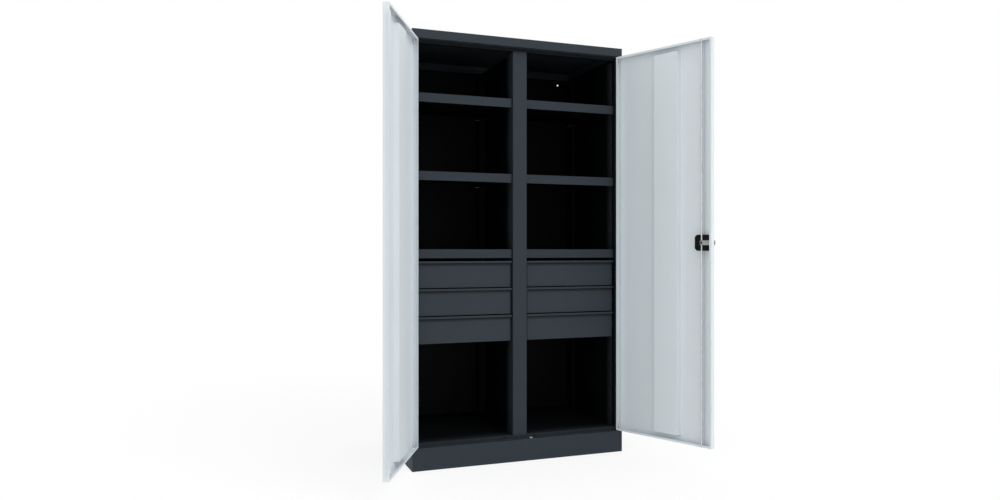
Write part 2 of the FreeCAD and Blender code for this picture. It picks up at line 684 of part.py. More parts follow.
cavity = plate(lock_x("-cavity_width / 2", "cavity_width / 2"),
               (f"{SKIN} + case_floor", f"{CASE_TOP} + overrun"),
               lock_z("case_wall - lock_tall / 2", "lock_tall / 2 - case_wall"))
case_hole = round_bar("spindle_hole", "y", f"{SKIN} - overrun", f"{SKIN} + case_floor + overrun",
                      **PIVOT)
case_bores = lock_bores(f"{SKIN} - overrun", f"{CASE_TOP} + overrun")
on_door("lock_case", weld([lock_block(SKIN, CASE_TOP)], [cavity, case_hole] + case_bores), RIGHT)

LINK_REACH = "(rod_start + rod_throw + link_height + link_clear)"
rod_way = plate(lock_x("-channel_width / 2", "channel_width / 2"),
                (f"{CASE_TOP} + cover_floor", f"{COVER_TOP} + overrun"),
                lock_z("-lock_tall / 2 - overrun", "lock_tall / 2 + overrun"))
link_ways = [
    plate(lock_x("-link_width / 2 - link_clear", "link_width / 2 + link_clear"),
          (f"{CASE_TOP} - overrun", f"{CASE_TOP} + cover_floor + overrun"), lock_z(*span))
    for span in (("rod_start - link_clear", LINK_REACH), (f"-{LINK_REACH}", "link_clear - rod_start"))
]
bridge_seat = plate(lock_x("-lock_shift - lock_width / 2 - overrun", "0"),
                    (f"{COVER_TOP} - sheet", f"{COVER_TOP} + overrun"),
                    lock_z("-bridge_height / 2 - bridge_fit", "bridge_height / 2 + bridge_fit"))
cover_hole = round_bar("spindle_hole", "y", f"{CASE_TOP} - overrun", f"{CASE_TOP} + cover_floor + overrun",
                       **PIVOT)
cover_bores = lock_bores(f"{CASE_TOP} - overrun", f"{COVER_TOP} + overrun")
cover_cuts = [rod_way, bridge_seat, cover_hole] + link_ways + cover_bores
on_door("lock_cover", weld([lock_block(CASE_TOP, COVER_TOP)], cover_cuts), RIGHT)

bridge_hole = round_bar("journal_radius + journal_clear", "y",
                        f"{COVER_TOP} - sheet - overrun", f"{COVER_TOP} + overrun", **PIVOT)
on_door("lock_bridge", weld([
    plate(lock_x("-lock_shift - lock_width / 2", "0"), (f"{COVER_TOP} - sheet", COVER_TOP),
          lock_z("-bridge_height / 2", "bridge_height / 2")),
    round_bar("bridge_height / 2", "y", f"{COVER_TOP} - sheet", COVER_TOP, **PIVOT),
], [bridge_hole, plate(lock_x("channel_width / 2", "bridge_height"),
                       (f"{COVER_TOP} - sheet - overrun", f"{COVER_TOP} + overrun"),
                       lock_z("-bridge_height", "bridge_height"))]), RIGHT)

screws = []
for i, j in [(-1, -1), (-1, 1), (1, -1), (1, 1)]:
    at = {"x": f"{LOCK_MID} + {i} * screw_across / 2", "z": f"lock_height + {j} * screw_apart / 2"}
    screws.append(weld([
        round_bar("screw_radius", "y", SKIN, COVER_TOP, **at),
        round_bar("screw_head_radius", "y", COVER_TOP, f"{COVER_TOP} + screw_head", **at),
    ]))
on_door("lock_screws", group(screws), RIGHT)

CAM_LOW = f"({SKIN} + case_floor + cam_gap)"
CAM_TOP = f"({CAM_LOW} + cam_thickness)"
YOKE = (f"({CAM_TOP} + yoke_gap)", f"({CAM_TOP} + yoke_gap + yoke_thickness)")
CRANK = "(rod_throw / 2)"


def locking_rod(up):
    """A locking rod, its link into the lock, and the fork that a crank pin of the cam moves."""
    def across_span(low, high):
        return lock_x(low, high) if up > 0 else lock_x(f"-({high})", f"-({low})")

    def up_span(low, high):
        return lock_z(low, high) if up > 0 else lock_z(f"-({high})", f"-({low})")

    outside = f"({CRANK_ARM} + crank_radius + crank_clear)"
    slot = "(crank_radius + crank_clear)"
    tip = f"{DOOR_TOP} + rod_proud" if up > 0 else f"{DOOR_BASE} - rod_proud"
    near = f"lock_height + {up} * rod_start"
    shaft = (near, tip) if up > 0 else (tip, near)
    link_up = up_span("rod_start", "rod_start + link_height")
    return weld([
        round_bar("rod_radius", "z", *shaft, x=LOCK_X, y=ROD_Y),
        plate(across_span("-link_width / 2", "link_width / 2"), (YOKE[0], ROD_Y), link_up),
        plate(across_span("-link_width / 2", f"{outside} + yoke_wall"), YOKE, link_up),
        plate(across_span("yoke_inner", f"{outside} + yoke_wall"), YOKE,
              up_span(f"-{CRANK} - {slot} - yoke_wall", "rod_start + link_height")),
    ], [
        plate(across_span("yoke_inner - overrun", outside), (f"{YOKE[0]} - overrun", f"{YOKE[1]} + overrun"),
              up_span(f"-{CRANK} - {slot}", f"-{CRANK} + {slot}")),
    ])


on_door("rod_top", locking_rod(1), RIGHT)
on_door("rod_bottom", locking_rod(-1), RIGHT)

square = plate(lock_x("-spindle_width / 2", "spindle_width / 2"),
               (f"{CAM_LOW} - overrun", f"{CAM_TOP} + overrun"),
               lock_z("-spindle_width / 2", "spindle_width / 2"))
cranks = [
    round_bar("crank_radius", "y", CAM_LOW, YOKE[1], x=f"{LOCK_X} + {turn} * {CRANK}",
              z=f"lock_height - {turn} * {CRANK}")
    for turn in (1, -1)
]
cam_disc = round_bar("cam_radius", "y", CAM_LOW, CAM_TOP, **PIVOT)
on_door("lock_cam", weld([cam_disc] + cranks, [square]), RIGHT)

GRIP_OUT = f"({OUTER} - handle_reach)"
GRIP_IN = f"({GRIP_OUT} + grip_depth)"
SQUARE_END = f"({COVER_TOP} - sheet - cam_gap)"
on_door("handle_spindle", weld([
    plate(lock_x("-spindle_width / 2", "spindle_width / 2"), (GRIP_IN, SQUARE_END),
          lock_z("-spindle_width / 2", "spindle_width / 2")),
    round_bar("journal_radius", "y", SQUARE_END, COVER_TOP, **PIVOT),
]), RIGHT)

grip_end = "(grip_length / 2 - grip_height / 2)"
grip_bar = weld([
    plate(lock_x(f"-{grip_end}", grip_end), (GRIP_OUT, GRIP_IN),
          lock_z("-grip_height / 2", "grip_height / 2")),
] + [
    round_bar("grip_height / 2", "y", GRIP_OUT, GRIP_IN, x=f"{LOCK_X} + {end} * {grip_end}", z="lock_height")
    for end in (LEFT, RIGHT)
])
doc.recompute()
rim = doc.addObject("Part::Fillet", "grip_rim")
rim.Base = grip_bar
faces_out = size(GRIP_OUT)
rim.Edges = [
    (index, SIZES["grip_round"], SIZES["grip_round"])
    for index, edge in enumerate(grip_bar.Shape.Edges, start=1)
    if all(abs(corner.Point.y - faces_out) < SIZES["plug_clear"] for corner in edge.Vertexes)
]
neck_bore = plate(lock_x("-spindle_width / 2", "spindle_width / 2"), (GRIP_IN, f"{OUTER} + overrun"),
                  lock_z("-spindle_width / 2", "spindle_width / 2"))
plug_bore = round_bar("plug_radius + plug_clear", "y", f"{GRIP_OUT} - overrun", f"{GRIP_OUT} + plug_depth",
                      **PIVOT)
neck = round_bar("neck_radius", "y", GRIP_IN, f"{OUTER} - neck_gap", **PIVOT)
on_door("handle_grip", weld([rim, neck], [neck_bore, plug_bore]), RIGHT)

keyway = plate(lock_x("-keyway_width / 2", "keyway_width / 2"),
               (f"{GRIP_OUT} - plug_proud - overrun", f"{GRIP_OUT} - plug_proud + keyway_depth"),
               lock_z("-keyway_height / 2", "keyway_height / 2"))
plug = round_bar("plug_radius", "y", f"{GRIP_OUT} - plug_proud", f"{GRIP_OUT} + plug_depth",
                 **PIVOT)
on_door("key_plug", weld([plug], [keyway]), RIGHT)

rosette = round_bar("escutcheon_radius", "y", f"{OUTER} - escutcheon_depth", OUTER, **PIVOT)
rosette_hole = round_bar("escutcheon_hole", "y", f"{OUTER} - escutcheon_depth - overrun",
                         f"{OUTER} + overrun", **PIVOT)
on_door("escutcheon", weld([rosette], [rosette_hole]), RIGHT)

# Check every object and write each piece
doc.recompute()
for obj in doc.Objects:
    if "Invalid" in obj.State or "Error" in obj.State:
        raise RuntimeError(f"{obj.Label} failed: {obj.State}")
os.makedirs("parts", exist_ok=True)
for piece in nodes:
    if piece.Shape.isNull() or not piece.Shape.isValid() or not piece.Shape.Solids:
        raise RuntimeError(f"{piece.Label} has no valid solid")
for piece in nodes:
    piece.Shape.exportStep(f"parts/{piece.Label}.step")
print(len(nodes), "nodes,", sum(len(piece.Shape.Solids) for piece in nodes), "solids")
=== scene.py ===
"""Dress the heavy-duty storage cabinet: finishes, small fittings, studio and camera.

Metres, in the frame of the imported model: +X right, +Y into the cabinet, +Z up.
"""
from __future__ import annotations

import json
import logging
import math
from collections.abc import Iterable, Sequence
from dataclasses import dataclass, field, replace
from enum import Enum

import bmesh
import bpy
from mathutils import Matrix, Vector

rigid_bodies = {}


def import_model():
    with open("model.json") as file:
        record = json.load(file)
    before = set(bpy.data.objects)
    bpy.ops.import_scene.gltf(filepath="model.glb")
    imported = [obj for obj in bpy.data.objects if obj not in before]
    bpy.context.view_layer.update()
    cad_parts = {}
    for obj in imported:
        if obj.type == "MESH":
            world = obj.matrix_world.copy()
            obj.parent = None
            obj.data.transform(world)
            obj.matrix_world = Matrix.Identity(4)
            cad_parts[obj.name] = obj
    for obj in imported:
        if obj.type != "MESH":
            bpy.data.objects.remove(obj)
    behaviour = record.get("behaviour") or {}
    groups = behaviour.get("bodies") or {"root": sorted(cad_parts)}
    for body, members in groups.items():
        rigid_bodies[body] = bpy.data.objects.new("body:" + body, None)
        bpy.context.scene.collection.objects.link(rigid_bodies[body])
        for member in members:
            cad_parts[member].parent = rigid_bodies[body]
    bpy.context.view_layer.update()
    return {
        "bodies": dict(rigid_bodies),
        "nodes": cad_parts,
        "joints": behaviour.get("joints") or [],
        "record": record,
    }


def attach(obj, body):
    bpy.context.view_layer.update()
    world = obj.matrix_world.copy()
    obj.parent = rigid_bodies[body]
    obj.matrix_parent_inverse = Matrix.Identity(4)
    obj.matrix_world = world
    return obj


LOG = logging.getLogger("cabinet")
Colour = tuple[float, float, float]
Point = tuple[float, float, float]

# How far a mask reaches past a face, so that the whole face is in it
SLACK = 0.0006


class Side(Enum):
    """The two halves of the cabinet, each with the sign of its X."""

    LEFT = -1
    RIGHT = 1

    @property
    def word(self) -> str:
        """The side's word in node names."""
        return self.name.lower()


class Level(Enum):
    """The three shelves or drawers of a column."""

    TOP = "top"
    MIDDLE = "middle"
    LOW = "low"


class Slot(Enum):
    """The record's material slots that suit the added fittings; nothing in the script assigns them."""

    ZINC = "zinc_steel"
    BLACK = "black_plastic"
    BLACK_STEEL = "black_steel"


class Edge(Enum):
    """Edge radii, by how a piece is made."""

    SHARP = 0.0
    POLISHED = 0.0002
    SMALL = 0.0003
    PLATE = 0.0004
    MOULDED = 0.0005
    SHEET = 0.0006


# Shader writing


@dataclass(frozen=True)
class Grain:
    """A noise pattern.

    Attributes:
        scale: features in a metre.
        detail: octaves.
        rough: weight of the finer octaves.
    """

    scale: float
    detail: float = 2.0
    rough: float = 0.5


class Wire:
    """A shader socket that takes part in Python sums, each of which adds a Math node."""

    def __init__(self, shader: Shader, socket: bpy.types.NodeSocket) -> None:
        """Hold an output socket and the shader it belongs to."""
        self.shader = shader
        self.socket = socket

    def _sum(self, operation: str, first: Wire | float, second: Wire | float) -> Wire:
        """Add one Math node."""
        return self.shader.node("ShaderNodeMath", {"operation": operation}, {0: first, 1: second})

    def __add__(self, other: Wire | float) -> Wire:
        """Sum."""
        return self._sum("ADD", self, other)

    __radd__ = __add__

    def __sub__(self, other: Wire | float) -> Wire:
        """Difference."""
        return self._sum("SUBTRACT", self, other)

    def __rsub__(self, other: float) -> Wire:
        """Difference from a number."""
        return self._sum("SUBTRACT", other, self)

    def __mul__(self, other: Wire | float) -> Wire:
        """Product."""
        return self._sum("MULTIPLY", self, other)

    __rmul__ = __mul__

    def between(self, low: float, high: float) -> Wire:
        """A smooth step from 0 at low to 1 at high."""
        return self.shader.node("ShaderNodeMapRange", {"interpolation_type": "SMOOTHSTEP"},
                                {"Value": self, "From Min": low, "From Max": high})


Socket = Wire | float | Sequence[float]


class Shader:
    """A material's node tree, written from Python."""

    def __init__(self, tree: bpy.types.NodeTree) -> None:
        """Clear a node tree and write into it.

        Args:
            tree: the node tree of a material or of the world.
        """
        self.tree = tree
        tree.nodes.clear()

    @classmethod
    def material(cls, name: str) -> tuple[Shader, bpy.types.Material]:
        """Start a material.

        Args:
            name: the material's name.

        Returns:
            The shader to write into, and the material.
        """
        made = bpy.data.materials.new(name)
        made.use_nodes = True
        return cls(made.node_tree), made

    def node(self, kind: str, settings: dict[str, object] | None = None,
             sockets: dict[str | int, Socket] | None = None, out: str | int = 0) -> Wire:
        """Add a node.

        Args:
            kind: the node's type.
            settings: properties that are set first, such as a Math node's operation.
            sockets: a value or a link for each socket, by name or number.
            out: the output to use.

        Returns:
            The chosen output.
        """
        made = self.tree.nodes.new(kind)
        for name, value in (settings or {}).items():
            setattr(made, name, value)
        for name, value in (sockets or {}).items():
            target = made.inputs[name]
            if isinstance(value, Wire):
                self.tree.links.new(value.socket, target)
            elif isinstance(value, (int, float)):
                target.default_value = value
            else:
                width = len(target.default_value)
                target.default_value = (*value, 1.0)[:width]
        return Wire(self, made.outputs[out] if len(made.outputs) else None)

    def mix(self, factor: Wire | float, first: Socket, second: Socket) -> Wire:
        """Blend two colours.

        Args:
            factor: 0 for the first, 1 for the second.
            first: the colour at 0.
            second: the colour at 1.

        Returns:
            The blended colour.
        """
        return self.node("ShaderNodeMix", {"data_type": "RGBA"}, {0: factor, 6: first, 7: second}, out=2)

    def place(self) -> Wire:
        """The object's own coordinates, in metres."""
        return self.node("ShaderNodeTexCoord", out="Object")

    def scaled(self, vector: Wire, scale: Point) -> Wire:
        """Stretch a vector by a factor on each axis."""
        return self.node("ShaderNodeVectorMath", {"operation": "MULTIPLY"}, {0: vector, 1: scale})

    def noise(self, vector: Wire, grain: Grain) -> Wire:
        """A noise texture's value.

        Args:
            vector: where it is read.
            grain: its pattern.

        Returns:
            The noise, about 0.5 on average.
        """
        sockets = {"Vector": vector, "Scale": grain.scale, "Detail": grain.detail, "Roughness": grain.rough}
        return self.node("ShaderNodeTexNoise", {"noise_dimensions": "3D"}, sockets)

    def rim(self, radius: float) -> Wire:
        """How near a point is to an edge.

        Args:
            radius: the distance at which an edge begins to count.

        Returns:
            0 on a flat face, rising towards an edge.
        """
        flat_share, edge_share = 0.01, 0.22
        rounded = self.node("ShaderNodeBevel", {"samples": 4}, {"Radius": radius})
        flat = self.node("ShaderNodeNewGeometry", out="Normal")
        along = self.node("ShaderNodeVectorMath", {"operation": "DOT_PRODUCT"}, {0: rounded, 1: flat},
                          out="Value")
        return (1.0 - along).between(flat_share, edge_share)

    def bump(self, height: Wire, distance: float, strength: float) -> Wire:
        """A bumped normal from a height between 0 and 1.

        Args:
            height: the height.
            distance: the height of 1, in metres.
            strength: how much of the bump is used.

        Returns:
            The normal.
        """
        return self.node("ShaderNodeBump", None,
                         {"Height": height, "Distance": distance, "Strength": strength})

    def surface(self, **sockets: Socket) -> None:
        """End the tree with one main shader.

        Args:
            **sockets: values or links by socket name, with underscores for spaces.
        """
        named = {name.replace("_", " "): value for name, value in sockets.items()}
        shade = self.node("ShaderNodeBsdfPrincipled", None, named)
        self.node("ShaderNodeOutputMaterial", None, {"Surface": shade})


# Finishes


@dataclass(frozen=True)
class WeldRow:
    """A row of spot welds that shows as shallow dimples through the paint.

    Attributes:
        start: the first weld.
        step: the way from one weld to the next, along Z.
        radius: a dimple's radius.
    """

    start: Point
    step: float = 0.12
    radius: float = 0.0035


@dataclass(frozen=True)
class DoorPlace:
    """Places on a door as it stands open at rest.

    Attributes:
        side: which door.
        hinge_x: the hinge pin, from the middle.
        hinge_y: the hinge pin's depth.
        open_left: how far the left door stands open, in degrees.
        open_right: how far the right door stands open, in degrees.
        foot: the top of a stiffener's foot, inward from the pin.
    """

    side: Side
    hinge_x: float = 0.511
    hinge_y: float = -0.2935
    open_left: float = 116.5
    open_right: float = 114.0
    foot: float = -0.0035

    @property
    def along(self) -> Vector:
        """The direction from the hinge to the free edge."""
        turn = math.radians(self.open_left if self.side is Side.LEFT else self.open_right)
        return Vector((-self.side.value * math.cos(turn), -math.sin(turn), 0.0))

    @property
    def inward(self) -> Vector:
        """The direction out of the door's inner face."""
        along = self.along
        return Vector((along.y, -along.x, 0.0)) * self.side.value

    def at(self, along: float, inward: float, height: float) -> Point:
        """A place on the door.

        Args:
            along: its distance from the hinge pin along the door.
            inward: its distance from the pin towards the inner face.
            height: its height.

        Returns:
            The place in the model's frame.
        """
        pin = Vector((self.side.value * self.hinge_x, self.hinge_y, height))
        return tuple(pin + self.along * along + self.inward * inward)


@dataclass(frozen=True)
class Inside:
    """Painted shade inside the body: the coat there is darkened nearly to black, more so deeper in.

    Attributes:
        half_width: where the side panels' inner faces are, from the middle.
        front: where the painted shade begins.
        deep: where it is darkest.
        back: the back panel's inner face.
        low: the floor's underside.
        high: the cap's underside.
        dark: the share of the colour that is left.
    """

    half_width: float = 0.5185
    front: float = -0.272
    deep: float = -0.16
    back: float = 0.2985
    low: float = 0.095
    high: float = 1.9125
    dark: float = 0.09

    def mask(self, shader: Shader, place: Wire) -> Wire:
        """Write the share of the painted shade.

        Args:
            shader: the shader to write into.
            place: object coordinates.

        Returns:
            0 outside the body, 1 deep inside.
        """
        x, y, z = (shader.node("ShaderNodeSeparateXYZ", None, {0: place}, out=axis) for axis in "XYZ")
        across = shader.node("ShaderNodeMath", {"operation": "ABSOLUTE"}, {0: x})
        within = 1.0 - across.between(self.half_width + SLACK / 2, self.half_width + SLACK)
        behind = y.between(self.back + SLACK / 2, self.back + SLACK)
        depth = y.between(self.front, self.deep) * (1.0 - behind)
        height = z.between(self.low - SLACK, self.low) * (1.0 - z.between(self.high, self.high + SLACK))
        return within * depth * height


@dataclass(frozen=True)
class PaintedLipShade:
    """Painted shade on the drawers' fronts under the grip lip and beside the post.

    Attributes:
        base: the lowest front's foot.
        pitch: the way from one drawer to the next.
        lip: the lip's underside, above a front's foot.
        fade: how far below the lip the painted shade reaches.
        face: the fronts' face.
        post: the fronts' edges beside the post, from the middle.
        fringe: how far from that edge the painted shade reaches.
        dark: the share of the colour that is left.
    """

    base: float = 0.554
    pitch: float = 0.125
    lip: float = 0.1115
    fade: float = 0.02
    face: float = -0.256
    post: float = 0.038
    fringe: float = 0.011
    dark: float = 0.3

    def mask(self, shader: Shader, place: Wire) -> Wire:
        """Write the share of the painted shade.

        Args:
            shader: the shader to write into.
            place: object coordinates.

        Returns:
            0 on the open face, 1 in the corner under the lip or beside the post.
        """
        near, clear = 0.0015, 0.0045
        x, y, z = (shader.node("ShaderNodeSeparateXYZ", None, {0: place}, out=axis) for axis in "XYZ")
        rise = shader.node("ShaderNodeMath", {"operation": "FLOORED_MODULO"},
                           {0: z - self.base, 1: self.pitch})
        above = rise.between(self.lip, self.lip + SLACK)
        under = rise.between(self.lip - self.fade, self.lip) * (1.0 - above)
        across = shader.node("ShaderNodeMath", {"operation": "ABSOLUTE"}, {0: x})
        beside = 1.0 - across.between(self.post, self.post + self.fringe)
        corner = shader.node("ShaderNodeMath", {"operation": "MAXIMUM"}, {0: under, 1: beside})
        face = y.between(self.face - clear, self.face - near)
        return corner * face * (1.0 - y.between(self.face + SLACK, self.face + 2 * SLACK))


@dataclass(frozen=True)
class PowderCoat:
    """A baked powder coat on folded steel, with edges lightened as patchy wear and as a painted highlight.

    Attributes:
        name: the finish's name.
        colour: its colour, linear.
        rubbed_and_highlit: colour of the edges, for wear and painted highlight.
        roughness: its mean roughness.
        depth: depth of the orange peel.
        wear: how much the edges show their colour of wear and painted highlight.
        gloss: the specular level.
        welds: rows of spot welds.
        painted_shade: where shade is painted in as a darker colour, if anywhere.
        drift: how far the colour drifts to either side.
        cloud: the colour's slow drift.
        grit: the powder's grain.
        peel: the orange peel.
        smear: wiped smears.
        wiped: the smears' stretch on each axis.
        patches: patches of edge wear and painted highlight.
        edge_radius: how far an edge's wear and painted highlight reach.
        dimple: a spot weld's depth against the orange peel.
    """

    name: str
    colour: Colour
    rubbed_and_highlit: Colour
    roughness: float = 0.5
    depth: float = 0.00012
    wear: float = 0.3
    gloss: float = 0.3
    welds: tuple[WeldRow, ...] = ()
    painted_shade: Inside | PaintedLipShade | None = None
    drift: float = 0.1
    cloud: Grain = Grain(3.0, 3.0)
    grit: Grain = Grain(900.0)
    peel: Grain = Grain(320.0, 1.5)
    smear: Grain = Grain(14.0, 5.0, 0.6)
    wiped: Point = (1.0, 1.0, 0.25)
    patches: Grain = Grain(60.0, 4.0)
    edge_radius: float = 0.0016
    dimple: float = 1.5

    def material(self) -> bpy.types.Material:
        """Write the finish.

        Returns:
            The material.
        """
        cloud_share, peel_share, patchy, strength = 0.55, 0.7, (0.3, 0.7), 0.6
        smear_spread, grit_spread, polish = 0.12, 0.05, 0.1
        shader, made = Shader.material(self.name)
        place = shader.place()
        cloud = shader.noise(place, self.cloud)
        grit = shader.noise(place, self.grit)
        peel = shader.noise(place, self.peel)
        smear = shader.noise(shader.scaled(place, self.wiped), self.smear)
        dark = tuple((1.0 - self.drift) * part for part in self.colour)
        light = tuple((1.0 + self.drift) * part for part in self.colour)
        tone = shader.mix(cloud * cloud_share + grit * (1.0 - cloud_share), dark, light)
        # Lighter edges: patchy wear together with a painted highlight along the folds.
        patches = shader.noise(place, self.patches).between(*patchy)
        edge = shader.rim(self.edge_radius) * patches * self.wear
        tone = shader.mix(edge, tone, self.rubbed_and_highlit)
        # Painted shade: the colour darkens where the mask says shade falls.
        if self.painted_shade:
            shade = tuple(self.painted_shade.dark * part for part in self.colour)
            tone = shader.mix(self.painted_shade.mask(shader, place), tone, shade)
        height = peel * peel_share + grit * (1.0 - peel_share)
        for row in self.welds:
            height = height - self._dimples(shader, place, row) * self.dimple
        smooth = self.roughness - smear_spread / 2
        rough = smooth + smear * smear_spread + grit * grit_spread - edge * polish
        shader.surface(Base_Color=tone, Roughness=rough, Specular_IOR_Level=self.gloss,
                       Normal=shader.bump(height, self.depth, strength))
        return made

    def _dimples(self, shader: Shader, place: Wire, row: WeldRow) -> Wire:
        """A mask of round dimples along a row.

        Args:
            shader: the shader to write into.
            place: object coordinates.
            row: the row of welds.

        Returns:
            1 in a dimple, 0 outside.
        """
        beyond, core_share = 9.0, 0.5
        high, low = (beyond, beyond, row.step / 2), (-beyond, -beyond, -row.step / 2)
        offset = shader.node("ShaderNodeVectorMath", {"operation": "SUBTRACT"}, {0: place, 1: row.start})
        folded = shader.node("ShaderNodeVectorMath", {"operation": "WRAP"}, {0: offset, 1: high, 2: low})
        away = shader.node("ShaderNodeVectorMath", {"operation": "LENGTH"}, {0: folded}, out="Value")
        return 1.0 - away.between(row.radius * core_share, row.radius)


@dataclass(frozen=True)
class PlatedSteel:
    """Zinc or chrome plate over drawn steel.

    Attributes:
        name: the finish's name.
        colour: its colour, linear.
        roughness: its mean roughness.
        spangle: how much the crystals of the plating differ.
        drawn: the direction of the drawing lines, as a stretch on each axis.
        lines: the drawing lines.
        depth: depth of the drawing lines.
        crystal_scale: crystals in a metre.
        stain: the stains' pattern.
        stained: the share of the colour that is left in a stain.
    """

    name: str
    colour: Colour
    roughness: float = 0.34
    spangle: float = 0.14
    drawn: Point = (1.0, 1.0, 0.04)
    lines: Grain = Grain(900.0, 3.0, 0.6)
    depth: float = 0.00004
    crystal_scale: float = 260.0
    stain: Grain = Grain(35.0, 5.0, 0.6)
    stained: float = 0.72

    def material(self) -> bpy.types.Material:
        """Write the finish.

        Returns:
            The material.
        """
        stain_share, stain_range, strength = 0.6, (0.35, 0.75), 0.5
        sheen, line_spread, flake_spread, stain_spread = 0.08, 0.12, 0.6, 0.08
        shader, made = Shader.material(self.name)
        place = shader.place()
        lines = shader.noise(shader.scaled(place, self.drawn), self.lines)
        crystals = shader.node("ShaderNodeTexVoronoi", {"feature": "F1"},
                               {"Vector": place, "Scale": self.crystal_scale}, out="Color")
        flake = shader.node("ShaderNodeSeparateColor", None, {"Color": crystals}, out="Red")
        stain = shader.noise(place, self.stain)
        dull = tuple(self.stained * part for part in self.colour)
        dullness = stain.between(*stain_range) * stain_share + flake * self.spangle
        tone = shader.mix(dullness, self.colour, dull)
        crystal_spread = self.spangle * flake_spread
        rough = self.roughness - sheen + lines * line_spread + flake * crystal_spread + stain * stain_spread
        shader.surface(Base_Color=tone, Metallic=1.0, Roughness=rough,
                       Normal=shader.bump(lines, self.depth, strength))
        return made


@dataclass(frozen=True)
class MouldedPlastic:
    """Fine-grained moulded plastic or rubber.

    Attributes:
        name: the finish's name.
        colour: its colour, linear.
        roughness: its mean roughness.
        grain: the moulded grain.
        depth: depth of the grain.
        gloss: the specular level.
        cloud: the colour's drift.
        patches: patches of edge wear.
        edge_radius: how far an edge's wear reaches.
    """

    name: str
    colour: Colour
    roughness: float = 0.5
    grain: Grain = Grain(1300.0)
    depth: float = 0.00008
    gloss: float = 0.06
    cloud: Grain = Grain(40.0, 4.0)
    patches: Grain = Grain(220.0, 3.0)
    edge_radius: float = 0.0009

    def material(self) -> bpy.types.Material:
        """Write the finish.

        Returns:
            The material.
        """
        gain, lift, cloud_share, edge_share = 1.7, 0.008, 0.35, 0.5
        patchy, strength = (0.35, 0.65), 0.6
        sheen, cloud_spread, grain_spread, polish = 0.08, 0.12, 0.08, 0.12
        shader, made = Shader.material(self.name)
        place = shader.place()
        grain = shader.noise(place, self.grain)
        cloud = shader.noise(place, self.cloud)
        pale = tuple(gain * part + lift for part in self.colour)
        edge = shader.rim(self.edge_radius) * shader.noise(place, self.patches).between(*patchy)
        tone = shader.mix(cloud * cloud_share + edge * edge_share, self.colour, pale)
        rough = self.roughness - sheen + cloud * cloud_spread + grain * grain_spread - edge * polish
        shader.surface(Base_Color=tone, Roughness=rough, Specular_IOR_Level=self.gloss,
                       Normal=shader.bump(grain, self.depth, strength))
        return made


# Mesh writing


class Fitting:
    """Small turned or lofted fittings, several of one kind in one mesh.

    Attributes:
        sharp: the angle from which an edge is shaded sharp.
    """

    sharp = math.radians(40)

    def __init__(self, name: str, segments: int = 24) -> None:
        """Start an empty mesh.

        Args:
            name: the piece's name.
            segments: facets round a turned form.
        """
        self.name = name
        self.segments = segments
        self.mesh = bmesh.new()

    def turn(self, profile: Sequence[tuple[float, float]], base: Point, axis: Point) -> None:
        """Turn a profile about an axis.

        Args:
            profile: (radius, height) pairs from the base upwards; a radius of 0 closes an end, and a last
                pair like the first closes a ring.
            base: where height 0 is.
            axis: the direction of height.
        """
        tilt = Vector((0, 0, 1)).rotation_difference(Vector(axis)).to_matrix().to_4x4()
        place = Matrix.Translation(base) @ tilt
        rings: list[list[bmesh.types.BMVert]] = []
        for order, (radius, height) in enumerate(profile):
            if order and (radius, height) == profile[0]:
                rings.append(rings[0])
                continue
            if radius == 0:
                rings.append([self.mesh.verts.new(place @ Vector((0, 0, height)))])
                continue
            angles = (2 * math.pi * facet / self.segments for facet in range(self.segments))
            corners = (Vector((radius * math.cos(angle), radius * math.sin(angle), height))
                       for angle in angles)
            rings.append([self.mesh.verts.new(place @ corner) for corner in corners])
        for low, high in zip(rings, rings[1:]):
            for facet in range(self.segments):
                after = (facet + 1) % self.segments
                face = [low[facet % len(low)], low[after % len(low)], high[after % len(high)],
                        high[facet % len(high)]]
                self.mesh.faces.new(list(dict.fromkeys(face)))

    def loft(self, rows: Sequence[Sequence[Point]]) -> None:
        """Join rows of places into a closed bar, with flat ends.

        Args:
            rows: rows of equally many places, in order round the bar.
        """
        made = [[self.mesh.verts.new(place) for place in row] for row in rows]
        for row, after in zip(made, made[1:] + made[:1]):
            for step in range(len(row) - 1):
                self.mesh.faces.new([row[step], row[step + 1], after[step + 1], after[step]])
        for end in (0, -1):
            self.mesh.faces.new([row[end] for row in made])

    def finish(self, body: str, material: bpy.types.Material) -> None:
        """Make the object and let it ride on a body.

        Args:
            body: the CAD body it moves with.
            material: its material.
        """
        bmesh.ops.recalc_face_normals(self.mesh, faces=self.mesh.faces)
        data = bpy.data.meshes.new(self.name)
        self.mesh.to_mesh(data)
        self.mesh.free()
        data.shade_smooth()
        data.set_sharp_from_angle(angle=self.sharp)
        data.materials.append(material)
        made = bpy.data.objects.new(self.name, data)
        bpy.context.scene.collection.objects.link(made)
        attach(made, body)
        LOG.info("piece %s on %s", self.name, body)


# Dressing


